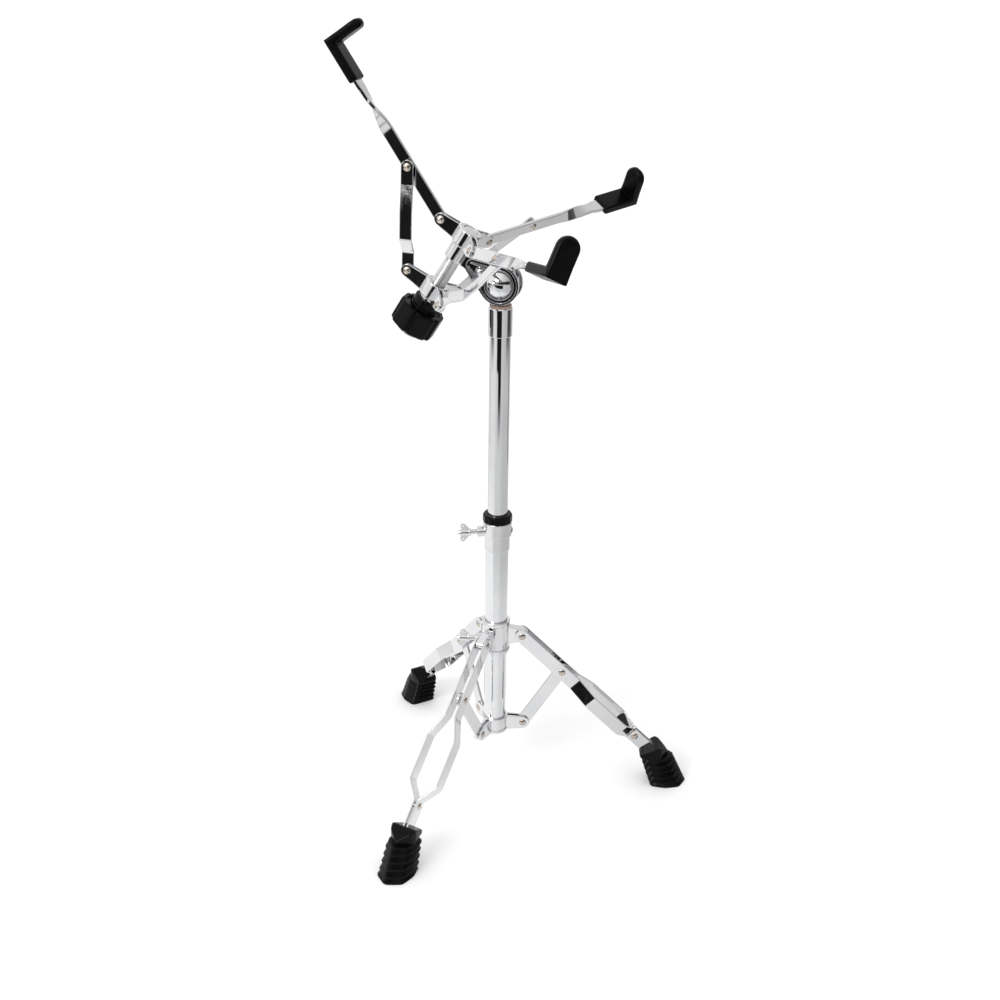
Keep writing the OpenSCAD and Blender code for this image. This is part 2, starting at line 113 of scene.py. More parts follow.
# ---- Materials --------------------------------------------------------------------------------

class Surface(Graph):
    """A node material that is put together step by step around one Principled shader."""

    def __init__(self, name, **sockets):
        self.mat = bpy.data.materials.new(name)
        self.mat.use_nodes = True
        super().__init__(self.mat.node_tree)
        self.shader = self.tree.nodes["Principled BSDF"]
        for key, value in sockets.items():
            self.shader.inputs[key.replace("_", " ")].default_value = value
        self.place = self.add("ShaderNodeTexCoord").outputs["Object"]
        self.normal = None

    def noise(self, size_mm, detail=3.0, rough=0.55, stretch=(1, 1, 1)):
        """Noise whose features are about size_mm across."""
        where = self.add("ShaderNodeMapping", Vector=self.place, Scale=stretch).outputs["Vector"]
        return self.add("ShaderNodeTexNoise", Vector=where, Scale=1.0 / (size_mm * MM), Detail=detail,
                        Roughness=rough).outputs["Fac"]

    def cells(self, size_mm):
        """Distance to the edge of the nearest cell, for cells about size_mm across."""
        node = self.add("ShaderNodeTexVoronoi", Vector=self.place, Scale=1.0 / (size_mm * MM))
        node.feature = "DISTANCE_TO_EDGE"
        return node.outputs["Distance"]

    def edges(self, radius_mm):
        """0 on flat ground to about 1 along edges: how far an edge of that radius turns the normal."""
        soft = self.add("ShaderNodeBevel", Radius=radius_mm * MM)
        soft.samples = 4
        true = self.add("ShaderNodeNewGeometry").outputs["Normal"]
        dot = self.add("ShaderNodeVectorMath", i0=soft.outputs["Normal"], i1=true)
        dot.operation = "DOT_PRODUCT"
        return self.ramp(dot.outputs["Value"], 0.995, 0.85, 0.0, 1.0)

    def mix(self, fac, a, b):
        """The colour a where fac is 0 and b where it is 1."""
        node = self.add("ShaderNodeMix")
        node.data_type = "RGBA"
        self.tree.links.new(fac, node.inputs["Factor"])
        for socket, colour in ((node.inputs["A"], a), (node.inputs["B"], b)):
            socket.default_value = (*colour, 1.0)
        return node.outputs["Result"]

    def link(self, socket, value):
        self.tree.links.new(value, self.shader.inputs[socket])

    def face(self, node):
        """Take the shader's normal from node."""
        self.normal = node.outputs["Normal"]
        self.link("Normal", self.normal)

    def bump(self, height, depth_mm, strength=1.0):
        node = self.add("ShaderNodeBump", Height=height, Strength=strength, Distance=depth_mm * MM)
        if self.normal:
            self.tree.links.new(self.normal, node.inputs["Normal"])
        self.face(node)

    def soften(self, radius_mm):
        """Edges catch the light as if rounded by radius_mm."""
        node = self.add("ShaderNodeBevel", Radius=radius_mm * MM)
        node.samples = 6
        self.face(node)


def plating(name, colour, tint, rough, wave_mm, wave_depth, edge_mm):
    """Plated metal: a faintly uneven mirror with a breath of haze, fine wipe marks and worn edges."""
    s = Surface(name, Metallic=1.0, IOR=2.2)
    s.soften(edge_mm)
    haze = s.noise(38.0, 4.0, 0.6)
    wipe = s.noise(5.0, 5.0, 0.7, stretch=(1.0, 1.0, 0.12))
    s.link("Base Color", s.mix(s.ramp(haze, 0.35, 0.7, 0.0, 1.0), colour, tint))
    smudge = s.ramp(s.times(haze, wipe), 0.16, 0.42, rough * 0.55, rough * 1.9)
    s.link("Roughness", s.plus(smudge, s.times(s.edges(edge_mm * 1.6), rough)))
    s.bump(s.noise(wave_mm, 2.0, 0.4), wave_depth)
    s.bump(s.noise(0.9, 2.0, 0.5), 0.004, 0.6)
    return s.mat


def moulded(name, colour, worn, rough, grain_mm, grain_depth, edge_mm, gloss):
    """Moulded plastic or rubber: fine grain, a dusty bloom in patches and paler, smoother edges."""
    s = Surface(name, IOR=1.5, Specular_IOR_Level=gloss)
    s.soften(edge_mm)
    cloud = s.noise(14.0, 5.0, 0.62)
    specks = s.ramp(s.noise(1.6, 3.0), 0.35, 0.7, 0.35, 1.0)
    dust = s.times(s.ramp(cloud, 0.42, 0.72, 0.0, 1.0), specks)
    rim = s.edges(edge_mm * 1.5)
    bloom = s.plus(s.times(dust, 0.55), s.times(rim, 0.6))
    s.link("Base Color", s.mix(bloom, colour, worn))
    patchy = s.ramp(cloud, 0.3, 0.75, rough * 0.82, rough * 1.18)
    s.link("Roughness", s.plus(patchy, s.times(rim, -0.1)))
    s.bump(s.noise(grain_mm, 3.0, 0.6), grain_depth)
    s.bump(s.cells(grain_mm * 1.7), grain_depth * 0.6, 0.5)
    return s.mat


def turned(name, colour, tint, rough):
    """Machined metal with fine turning marks and a little tarnish."""
    s = Surface(name, Metallic=1.0, IOR=2.0)
    tarnish = s.noise(6.0, 4.0, 0.6)
    s.link("Base Color", s.mix(s.ramp(tarnish, 0.4, 0.75, 0.0, 1.0), colour, tint))
    s.link("Roughness", s.ramp(tarnish, 0.3, 0.7, rough * 0.7, rough * 1.4))
    s.bump(s.noise(0.6, 2.0, 0.5, stretch=(1.0, 1.0, 0.25)), 0.01, 0.7)
    return s.mat


BLACK, DUSTY = (0.0012, 0.0012, 0.0013), (0.006, 0.006, 0.0065)
FINISHES = {
    "chrome_tube": (plating, (0.78, 0.785, 0.79), (0.72, 0.725, 0.74), 0.035, 60.0, 0.02, 0.5),
    "chrome": (plating, (0.76, 0.76, 0.765), (0.68, 0.685, 0.70), 0.055, 9.0, 0.03, 0.45),
    "dark_chrome": (plating, (0.66, 0.67, 0.69), (0.54, 0.55, 0.57), 0.07, 5.0, 0.04, 0.9),
    "cast_chrome": (plating, (0.77, 0.77, 0.775), (0.69, 0.695, 0.71), 0.05, 9.0, 0.03, 1.1),
    "rivet": (plating, (0.66, 0.60, 0.54), (0.50, 0.43, 0.37), 0.10, 2.0, 0.03, 0.5),
    "brass": (turned, (0.80, 0.62, 0.33), (0.56, 0.40, 0.19), 0.24),
    "washer_plastic": (moulded, (0.30, 0.20, 0.16), (0.42, 0.31, 0.26), 0.42, 0.5, 0.02, 0.4, 0.5),
    "black_plastic": (moulded, BLACK, DUSTY, 0.22, 0.45, 0.010, 0.6, 0.11),
    "rubber": (moulded, BLACK, DUSTY, 0.27, 0.35, 0.014, 0.9, 0.11),
}
MATERIALS = {name: make(name, *values) for name, (make, *values) in FINISHES.items()}
# Cast pieces, whose edges are rounder than those of bent strip.
ROUNDED = ("leg_collar", "lower_hub", "height_clamp", "arm_hub", "basket_slider")
for node, obj in NODES.items():
    obj.data.materials.clear()
    obj.data.materials.append(MATERIALS["cast_chrome" if node in ROUNDED else SLOT[node]])


# ---- Frames of the moving parts ---------------------------------------------------------------

def axes(origin, x, y, z):
    """The matrix that takes local coordinates in millimetres to the row frame."""
    m = Matrix((x, y, z)).transposed().to_4x4()
    return Matrix.Translation(origin) @ m @ Matrix.Diagonal((MM, MM, MM, 1.0))


def joint_at(name):
    return Vector(JOINTS[name]["pos_m"]), Vector(JOINTS[name]["axis"]).normalized()


def about_tangent(origin, out, up, slope):
    """A frame whose x runs outward and up by slope, y stays level across it."""
    x = out * math.cos(slope) + up * math.sin(slope)
    z = up * math.cos(slope) - out * math.sin(slope)
    return axes(origin, x, z.cross(x), z)


UP = Vector((0, 0, 1))
LEG_SLOPE = math.radians(44.8)
ARM_SLOPE = math.radians(24.7)
COUNT = 3
arm_pivots = [joint_at(f"arm_{k + 1}_fold")[0] for k in range(COUNT)]
rod_centre = sum(arm_pivots, Vector()) / COUNT
rod_axis = Vector(JOINTS["slider_travel"]["axis"]).normalized()
arm_outs = [(p - rod_centre).normalized() for p in arm_pivots]
ROD = axes(rod_centre, arm_outs[0], rod_axis.cross(arm_outs[0]), rod_axis)
ARMS = [about_tangent(p, out, rod_axis, ARM_SLOPE) for p, out in zip(arm_pivots, arm_outs)]


def leg_axes(k):
    pivot = joint_at(f"leg_{k + 1}_fold")[0]
    out = Vector((pivot.x, pivot.y, 0)).normalized()
    return about_tangent(pivot, out, UP, -LEG_SLOPE)


def brace_axes(k):
    low = joint_at(f"brace_{k + 1}_swing")[0]
    out = Vector((low.x, low.y, 0)).normalized()
    high = leg_axes(k) @ Vector((LEG_RIVET, 0, 0))
    x = (high - low).normalized()
    y = UP.cross(out)
    return axes(low, x, y, x.cross(y)), (high - low).length / MM


def link_axes(k):
    high = joint_at(f"link_{k + 1}_swing")[0]
    low = rod_centre - rod_axis * HUB_GAP * MM + arm_outs[k] * LINK_PIVOT_R * MM
    x = (low - high).normalized()
    y = rod_axis.cross(arm_outs[k])
    return axes(high, x, y, x.cross(y)), (low - high).length / MM


# ---- Mesh building ----------------------------------------------------------------------------

def piece(name, body, stands_for, slot, matrix, shape, smooth_deg=35.0):
    """A mesh piece in place of the CAD nodes that it stands for, riding on their body."""
    mesh = bpy.data.meshes.new(name)
    mesh.from_pydata([matrix @ Vector(v) for v in shape.verts], [], shape.faces)
    bm = bmesh.new()
    bm.from_mesh(mesh)
    bmesh.ops.remove_doubles(bm, verts=bm.verts, dist=1e-7)
    bmesh.ops.dissolve_degenerate(bm, edges=bm.edges, dist=1e-7)
    bmesh.ops.recalc_face_normals(bm, faces=bm.faces)
    for face in bm.faces:
        face.smooth = True
    for edge in bm.edges:
        edge.smooth = len(edge.link_faces) == 2 and edge.calc_face_angle(0) < math.radians(smooth_deg)
    bm.to_mesh(mesh)
    bm.free()
    mesh.materials.append(MATERIALS[slot])
    obj = bpy.data.objects.new(name, mesh)
    bpy.context.scene.collection.objects.link(obj)
    flatten = obj.modifiers.new("flat_faces", "WEIGHTED_NORMAL")
    flatten.keep_sharp = True
    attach(obj, body)
    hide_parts(*stands_for)


class Shape:
    """The vertices and faces of a piece."""

    def __init__(self):
        self.verts, self.faces = [], []

    def loops(self, rings, closed=False):
        """Skin over rings of equally many points, with capped ends or closed into a hoop."""
        base, n = len(self.verts), len(rings[0])
        for ring in rings:
            self.verts.extend(ring)
        pairs = len(rings) if closed else len(rings) - 1
        for i in range(pairs):
            a, b = base + i * n, base + (i + 1) % len(rings) * n
            for j in range(n):
                k = (j + 1) % n
                self.faces.append((a + j, a + k, b + k, b + j))
        if not closed:
            self.faces.append(tuple(base + j for j in reversed(range(n))))
            last = base + (len(rings) - 1) * n
            self.faces.append(tuple(last + j for j in range(n)))
        return self


def rounded(w, h, r, steps=4):
    """A rounded rectangle w by h about the origin, as 2D points."""
    r = max(min(r, w / 2 - 1e-4, h / 2 - 1e-4), 1e-4)
    points = []
    for cx, cy, start in ((1, 1, 0), (-1, 1, 90), (-1, -1, 180), (1, -1, 270)):
        for s in range(steps + 1):
            a = math.radians(start + 90 * s / steps)
            points.append((cx * (w / 2 - r) + r * math.cos(a), cy * (h / 2 - r) + r * math.sin(a)))
    return points


def arced(route, radius, steps=5):
    """A polyline whose corners are arcs: a list of (point, direction)."""
    pts = [Vector(p) for p in route]
    out = [(pts[0], (pts[1] - pts[0]).normalized())]
    for a, b, c in zip(pts, pts[1:], pts[2:]):
        u, v = (b - a).normalized(), (c - b).normalized()
        turn = u.angle(v, 0.0)
        if turn < 1e-3:
            out.append((b, u))
            continue
        back = radius * math.tan(turn / 2)
        side = (v - u * u.dot(v)).normalized()
        centre = b - u * back + side * radius
        for s in range(steps + 1):
            f = turn * s / steps
            out.append((centre + (u * math.sin(f) - side * math.cos(f)) * radius,
                        (u * math.cos(f) + side * math.sin(f)).normalized()))
    out.append((pts[-1], (pts[-1] - pts[-2]).normalized()))
    return out


THINNEST = 0.05  # half width, in mm, that a strap's round end tapers to


def flat_bar(route, thick, half_width, edge):
    """A strap with rounded edges along a route in its x-y plane; half_width(x) is half its width."""
    rings = []
    for p, d in route:
        n = Vector((-d.y, d.x))
        half = max(half_width(p.x), THINNEST)
        outline = rounded(thick, 2 * half, min(edge, half * 0.8))
        rings.append([(p.x + n.x * u, p.y + n.y * u, v) for u, v in outline])
    return Shape().loops(rings)


def densify(route, stops):
    """The route with extra points where it passes the x of each stop."""
    out = []
    for (p, d), (q, e) in zip(route, route[1:]):
        out.append((p, d))
        for x in sorted(stops, reverse=q.x < p.x):
            if min(p.x, q.x) + 1e-3 < x < max(p.x, q.x) - 1e-3:
                f = (x - p.x) / (q.x - p.x)
                out.append((p.lerp(q, f), d if d.dot(e) > 0.9999 else (d.lerp(e, f)).normalized()))
    out.append(route[-1])
    return out


END_STEPS = 9
OPEN = 900.0  # an end so far off that the strap's own end stays square


def stadium(start, end, half):
    """half_width for a strap with half-round ends at start and end, and the stops that draw them."""
    def width(x):
        if x < start + half:
            return math.sqrt(max(half * half - (start + half - x) ** 2, 0.0))
        if x > end - half:
            return math.sqrt(max(half * half - (x - end + half) ** 2, 0.0))
        return half

    offsets = [half * (1 - math.cos(math.pi / 2 * s / END_STEPS)) for s in range(1, END_STEPS + 1)]
    return width, [start + off for off in offsets] + [end - off for off in offsets]


# ---- Legs -------------------------------------------------------------------------------------

# Places along a leg are millimetres from its pivot in the hub.
LEG_RIVET = 66.6
STRAP_W, STRAP_T, STRAP_BEND = 16.0, 2.0, 7.0
STRAP_MID, LEG_BOW, STRAP_END = 6.0, 17.0, 2.2
LEG_ROUTE = [(-8.0, STRAP_MID), (88.0, STRAP_MID), (115.0, LEG_BOW), (168.0, LEG_BOW),
             (187.0, STRAP_END), (227.5, STRAP_END)]
BRACE_W, BRACE_T = 15.0, 3.0
HUB_GAP, LINK_PIVOT_R = 65.5, 33.8


def legs():
    width, stops = stadium(-STRAP_W / 2, OPEN, STRAP_W / 2)
    for k in range(COUNT):
        body = f"leg_{k + 1}"
        for side, word in ((1, "left"), (-1, "right")):
            corners = [(x, side * y) for x, y in LEG_ROUTE]
            strap = flat_bar(densify(arced(corners, STRAP_BEND), stops), STRAP_T, width, 0.55)
            node = f"{body}_strap_{word}"
            piece(f"{node}_steel", body, [node], "chrome", leg_axes(k), strap)
        brace(k)


def brace(k):
    """The flat strap from the sliding collar to the rivet in the leg."""
    matrix, length = brace_axes(k)
    half = BRACE_W / 2
    width, stops = stadium(-half, length + half, half)
    along = Vector((1, 0))
    route = [(along * -half, along), (along * (length + half), along)]
    node = f"brace_{k + 1}"
    strap = flat_bar(densify(route, stops), BRACE_T, width, 0.7)
    piece(f"{node}_steel", node, [node], "chrome", matrix, strap)


FOOT_IN, FOOT_OUT, FOOT_HALF = 188.0, 233.0, 20.0
FINS, FIN_PITCH, FIN_DEPTH, FIN_DROOP = 5, 7.6, 3.0, -1.6
BLOCK_IN, BLOCK_OUT, BLOCK_HALF, RIDGE = 174.4, 209.6, 15.4, 193.0


def foot_plan(inner, outer, half, rounds=2, per_side=7):
    """Plan of a foot as a loop of 2D points: widest behind its blunt nose, the corners relaxed."""
    corners = [(inner, -0.8 * half), (inner + 18, -half), (outer - 10, -0.84 * half), (outer, 0),
               (outer - 10, 0.84 * half), (inner + 18, half), (inner, 0.8 * half)]
    points = []
    for (ax, ay), (bx, by) in zip(corners, corners[1:] + corners[:1]):
        for s in range(per_side):
            f = s / per_side
            points.append((ax + (bx - ax) * f, ay + (by - ay) * f))
    for _ in range(rounds):
        before, after = points[-1:] + points[:-1], points[1:] + points[:1]
        points = [((a[0] + 2 * b[0] + c[0]) / 4, (a[1] + 2 * b[1] + c[1]) / 4)
                  for a, b, c in zip(before, points, after)]
    return points


def feet():
    """Rubber feet: a stack of sharp-edged fins under a wedge-topped block that holds the straps."""
    for k in range(COUNT):
        pivot = joint_at(f"leg_{k + 1}_fold")[0]
        out = Vector((pivot.x, pivot.y, 0)).normalized()
        matrix = axes(Vector(), out, UP.cross(out), UP)
        node = f"leg_{k + 1}_foot"
        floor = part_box(node)[0].z / MM
        rings = fins(floor) + block(floor + FINS * FIN_PITCH)
        piece(f"{node}_rubber", f"leg_{k + 1}", [node], "rubber", matrix, Shape().loops(rings), 40.0)


def fins(floor):
    """The fins' outlines from the sole up, each fin a little smaller than the one below."""
    rings = []

    def ring(z, fin, inset, droop):
        half = FOOT_HALF - 0.5 * fin - inset
        plan = foot_plan(FOOT_IN - 2.6 * fin + inset, FOOT_OUT - 3.6 * fin - inset, half)
        rings.append([(x, y, z + droop * (abs(y) / half) ** 2) for x, y in plan])

    for fin in range(FINS):
        z = floor + fin * FIN_PITCH
        sole = fin == 0
        droop = 0.0 if sole else FIN_DROOP
        ring(z if sole else z - 0.25, fin, 0.3 if sole else 0.55, droop)
        ring(z + 0.35, fin, 0.0, droop)
        ring(z + 0.9, fin, 0.05, droop)
        for down, inset in ((2.3, FIN_DEPTH - 0.6), (1.5, FIN_DEPTH - 0.1), (0.8, FIN_DEPTH - 0.3)):
            ring(z + FIN_PITCH - down, fin, inset, FIN_DROOP)
    return rings


def roof(x, top):
    """Height of the block's top: it climbs to a ridge square to the straps, then falls to the nose."""
    climb = 2.6 + (x - 174.0) * 0.61
    ridge = 14.2 - (x - RIDGE) * 0.17
    fall = 13.6 - (x - 196.5) * 0.771
    nose = 5.5 - (x - 207.0) * 1.25
    soft = 0.5
    return top - soft * math.log(sum(math.exp(-h / soft) for h in (climb, ridge, fall, nose)))


def block(top):
    """Outlines of the block above the fins: upright sides under a roof that takes the straps."""
    rings = []

    def ring(height, inset, squeeze=0.0):
        plan = foot_plan(BLOCK_IN + inset, BLOCK_OUT - inset, BLOCK_HALF - inset, 1)
        plan = [(x + (RIDGE - x) * squeeze, y) for x, y in plan]
        rings.append([(x, y, height(x)) for x, y in plan])

    ring(lambda x: top - 0.9, 0.9)
    ring(lambda x: top - 0.5, 0.15)
    ring(lambda x: top + 0.1, 0.0)
    ring(lambda x: max(roof(x, top) - 1.3, top + 0.2), 0.0)
    ring(lambda x: max(roof(x, top) - 0.5, top + 0.3), 0.3)
    for squeeze in (0.0, 0.3, 0.6, 0.85, 0.96):
        ring(lambda x: roof(x, top), 1.1, squeeze)
    return rings


# ---- Arms, links and grips --------------------------------------------------------------------

# Places along an arm are millimetres from its pivot in the hub, along a link from its upper rivet.
BAR_W, BAR_T, FLAT_W = 12.5, 4.0, 16.0
TWIST_START, TWIST_LEN, TWIST_STEPS = 92.0, 48.0, 32
ARM_LEN, UPRIGHT_H = 195.4, 36.0
GRIP_START, GRIP_W, GRIP_T, MITRE = 153.5, 23.0, 9.5, 1.5
PAD_EDGE, PAD_STEPS, BROW = 3.6, 14, 5.5
LINK_W, LINK_T, LINK_BEND, LINK_SIDE, LINK_BOW = 13.0, 2.5, 6.0, 6.45, 8.85


def smoothstep(f):
    f = min(max(f, 0.0), 1.0)
    return f * f * (3 - 2 * f)


def arms():
    for k in range(COUNT):
        node = f"arm_{k + 1}"
        piece(f"{node}_bar", node, [node], "chrome", ARMS[k], arm_bar())
        grip(k)
        link(k)


def arm_bar():
    """One bar on edge from its round end at the hub, a quarter twist, and flat into the grip."""
    end_width, stops = stadium(-BAR_W / 2, OPEN, BAR_W / 2)
    xs = [-BAR_W / 2 + 0.02] + [x for x in stops if x < 1.0] + [20, 40, 60, 80]
    xs += [TWIST_START + TWIST_LEN * s / TWIST_STEPS for s in range(TWIST_STEPS + 1)]
    xs += [143.0, 146.0, 150.0, 165.0, ARM_LEN - 0.5]
    rings = []
    for x in xs:
        twist = -math.pi / 2 * smoothstep((x - TWIST_START) / TWIST_LEN)
        wide = BAR_W + (FLAT_W - BAR_W) * smoothstep((x - 136.0) / 12.0)
        if x < 0:
            wide = 2 * max(end_width(x), THINNEST)
        c, s = math.cos(twist), math.sin(twist)
        rings.append([(x, u * c - v * s, u * s + v * c) for u, v in rounded(BAR_T, wide, 0.9)])
    return Shape().loops(rings)


def link(k):
    """The stepped strap from an arm's rivet down to the slider, bowed where it passes the arm."""
    matrix, length = link_axes(k)
    half = LINK_W / 2
    width, stops = stadium(-half, length + half, half)
    route = [(-half, LINK_SIDE), (17.0, LINK_SIDE), (43.0, LINK_BOW), (72.5, LINK_BOW), (85.0, 0.0),
             (length + half, 0.0)]
    strap = flat_bar(densify(arced(route, LINK_BEND, 6), stops), LINK_T, width, 0.7)
    node = f"link_{k + 1}"
    piece(f"{node}_steel", node, [node], "chrome", matrix, strap)


def grip(k):
    """A moulded grip: a sleeve on the bar that turns a mitred corner into a round-topped pad."""
    rings = []

    def section(place, w=GRIP_W, t=GRIP_T, edge=2.2):
        outline = rounded(w, t, min(edge, w * 0.45, t * 0.45), 5)
        rings.append([place(u, v) for u, v in outline])

    for dx, inset in ((0.0, 1.6), (0.35, 0.7), (1.1, 0.15), (2.2, 0.0), (10.0, 0.0), (20.0, 0.0)):
        section(lambda u, v: (GRIP_START + dx, u, v), GRIP_W - 2 * inset, GRIP_T - 2 * inset)
    section(lambda u, v: (ARM_LEN - GRIP_T / 2 - MITRE, u, v))
    section(lambda u, v: (ARM_LEN - v, u, v))
    section(lambda u, v: (ARM_LEN - v, u, GRIP_T / 2 + MITRE), edge=3.2)
    radius = GRIP_W / 2
    shoulder = UPRIGHT_H - radius
    for z in (11.0, 17.0, shoulder):
        section(lambda u, v: (ARM_LEN - v, u, z), edge=PAD_EDGE)
    for s in range(1, PAD_STEPS + 1):
        a = math.pi / 2 * s / PAD_STEPS
        z = shoulder + radius * math.sin(a)
        over = max(0.0, 1.0 - (UPRIGHT_H - z) / BROW)
        thick = GRIP_T * max(math.sqrt(max(1.0 - over ** 2, 0.0)), 0.12)
        section(lambda u, v: (ARM_LEN - v, u, z), max(GRIP_W * math.cos(a), 2.0), thick, PAD_EDGE)
    body = f"arm_{k + 1}"
    halves = [node for node in NODES if node.startswith(f"{body}_grip")]
    piece(f"{body}_grip_rubber", body, halves, "rubber", ARMS[k], Shape().loops(rings), 50.0)


# ---- Rod and knob -----------------------------------------------------------------------------

# Heights along the rod are millimetres above the arms' pivots.
ROD_R, ROD_TOP, ROD_BOTTOM, ROD_FLAT = 8.0, 8.0, -118.0, 6.4
FLAT_TOP = -30.0
PITCH, THREAD_DEPTH = 1.6, 0.75
ROD_AROUND, STEPS_PER_TURN = 72, 6


def threaded_rod():
    """The basket's rod: a rolled thread with one flat along it and a plain, chamfered upper end."""
    rings = []
    steps = int((ROD_TOP - ROD_BOTTOM) / PITCH * STEPS_PER_TURN)
    for i in range(steps + 1):
        z = ROD_BOTTOM + (ROD_TOP - ROD_BOTTOM) * i / steps
        fade = smoothstep((-14.0 - z) / 3.0) * smoothstep((z - ROD_BOTTOM - 0.2) / 1.2)
        chamfer = max(0.0, z - ROD_TOP + 1.2)
        ring = []
        for j in range(ROD_AROUND):
            a = TAU * j / ROD_AROUND
            phase = (z / PITCH - j / ROD_AROUND) % 1.0
            groove = THREAD_DEPTH * (0.5 - 0.5 * math.cos(TAU * phase)) ** 1.3
            r = ROD_R - fade * groove - chamfer
            x, y = r * math.cos(a), r * math.sin(a)
            if z < FLAT_TOP:
                y = max(y, -ROD_FLAT)
            ring.append((x, y, z))
        rings.append(ring)
    piece("basket_rod_threaded", BODY["basket_rod"], ["basket_rod"], "chrome", ROD,
          Shape().loops(rings), 60.0)


KNOB_D, KNOB_H, KNOB_BOSS_H, KNOB_BORE, KNOB_AROUND = 49.0, 26.0, 11.0, 11.0, 288
KNOB_TOP = -HUB_GAP - 12.3


def lobed(angle, inset):
    """Radius of the knob: six broad faces, a thumb groove on each corner and fine lines beside it."""
    flat = KNOB_D / 2 - inset
    sixth = math.radians(60)
    a = (angle + sixth / 2) % sixth - sixth / 2
    straight = (flat - 0.2) / math.cos(a) * math.cos(math.radians(30)) * 1.115
    r = min(flat, straight)
    for place, depth, half in ((0.5, 2.1, 2.0), (0.30, 0.45, 0.55), (0.70, 0.45, 0.55)):
        gap = abs((angle % sixth) - sixth * place) * flat
        r -= depth * math.exp(-(gap / half) ** 4)
    return r


def knob():
    """The clamping knob: its boss, which bears on the slider, its grip and its hollowed bottom face."""
    angles = [TAU * j / KNOB_AROUND for j in range(KNOB_AROUND)]
    top = KNOB_TOP - KNOB_BOSS_H
    bottom = top - KNOB_H

    def circle(r, z):
        return [(r * math.cos(a), r * math.sin(a), z) for a in angles]

    def outline(inset, z):
        return [(lobed(a, inset) * math.cos(a), lobed(a, inset) * math.sin(a), z) for a in angles]

    boss = [(KNOB_BORE, KNOB_TOP - 0.6), (KNOB_BORE + 0.6, KNOB_TOP), (13.7, KNOB_TOP),
            (14.3, KNOB_TOP - 0.3), (14.5, KNOB_TOP - 1.0), (14.5, top + 3.2), (13.9, top + 2.6),
            (13.9, top + 1.6), (14.5, top + 1.0), (14.5, top - 2.0), (15.4, top - 2.6),
            (18.0, top - 2.6), (18.8, top - 2.2), (19.6, top - 0.5)]
    grips = [(4.2, top - 0.02), (2.0, top), (1.0, top - 0.3), (0.4, top - 0.9), (0.1, top - 1.8),
             (0.0, top - 3.0), (0.0, top - KNOB_H / 2), (0.0, bottom + 3.0), (0.1, bottom + 1.8),
             (0.4, bottom + 0.9), (1.0, bottom + 0.3), (2.2, bottom)]
    face = [(17.0, bottom), (16.4, bottom + 0.5), (12.4, bottom + 0.5), (11.8, bottom),
            (KNOB_BORE + 0.5, bottom), (KNOB_BORE, bottom + 0.5)]
    rings = [circle(r, z) for r, z in boss] + [outline(inset, z) for inset, z in grips]
    rings += [circle(r, z) for r, z in face]
    piece("basket_knob_moulded", BODY["basket_knob"], ["basket_knob"], "black_plastic", ROD,
          Shape().loops(rings, closed=True), 38.0)


legs()
feet()
arms()
threaded_rod()
knob()


# ---- Stage ------------------------------------------------------------------------------------
# The studio is white and even, but what the chrome reflects has structure: a sky that dims to the
# right and is dark at eye level in front, upright cards, and a sheet with a painted floor reflection, painted dark
# in front.

WHITE = (1.0, 1.0, 1.0, 1.0)
SKY, SKY_RIGHT, AMBIENT = 1.05, 0.5, 1.0
# How bright the painted floor reflection is: left near and far, straight ahead, and right.
LEFT_NEAR, LEFT_FAR, MIDDLE, RIGHT = 1.12, 0.92, 0.76, 0.62
FLOOR_HALF, MIRROR_LIFT, CARD_LIFT = 45.0, 0.002, 0.004
# Cards: azimuth from the viewer's side in degrees, distance, width, height of the top, glow.
CARDS = [(-118.0, 1.1, 0.20, 0.9, 0.60), (118.0, 1.0, 0.30, 0.9, 0.30), (-21.0, 1.54, 0.60, 0.30, 0.01)]
SUN_TOWARDS, SUN_ENERGY, SUN_ANGLE = Vector((0.50, 0.66, -0.56)), 0.9, 24.0
STRIP_AT, STRIP_SIDE, STRIP_WATTS = (-1.5, -1.0, 0.9), 0.22, 3.0
CAMERA_AT, CAMERA_AIM = Vector((0.0, -1.3259, 0.9532)), Vector((0.0, 0.0, 0.2994))
CAMERA_ROLL, CAMERA_LENS, CAMERA_SHIFT = 0.85, 47.74, (0.003, 0.055)


def add_object(name, data):
    obj = bpy.data.objects.new(name, data)
    bpy.context.scene.collection.objects.link(obj)
    return obj


def sheet(name, corners, mat):
    """A flat four-cornered piece of the stage."""
    mesh = bpy.data.meshes.new(name)
    mesh.from_pydata(corners, [], [(0, 1, 2, 3)])
    mesh.materials.append(mat)
    obj = add_object(name, mesh)
    return obj


def square(z):
    """The floor's corners at height z."""
    return [(x * FLOOR_HALF, y * FLOOR_HALF, z) for x, y in ((-1, -1), (1, -1), (1, 1), (-1, 1))]


def floor():
    s = Surface("floor_paint", Roughness=0.7)
    patches = s.ramp(s.noise(900.0), 0.3, 0.7, 0.0, 1.0)
    s.link("Base Color", s.mix(patches, (0.925, 0.925, 0.925), (0.93, 0.93, 0.93)))
    sheet("floor", square(0.0), s.mat)


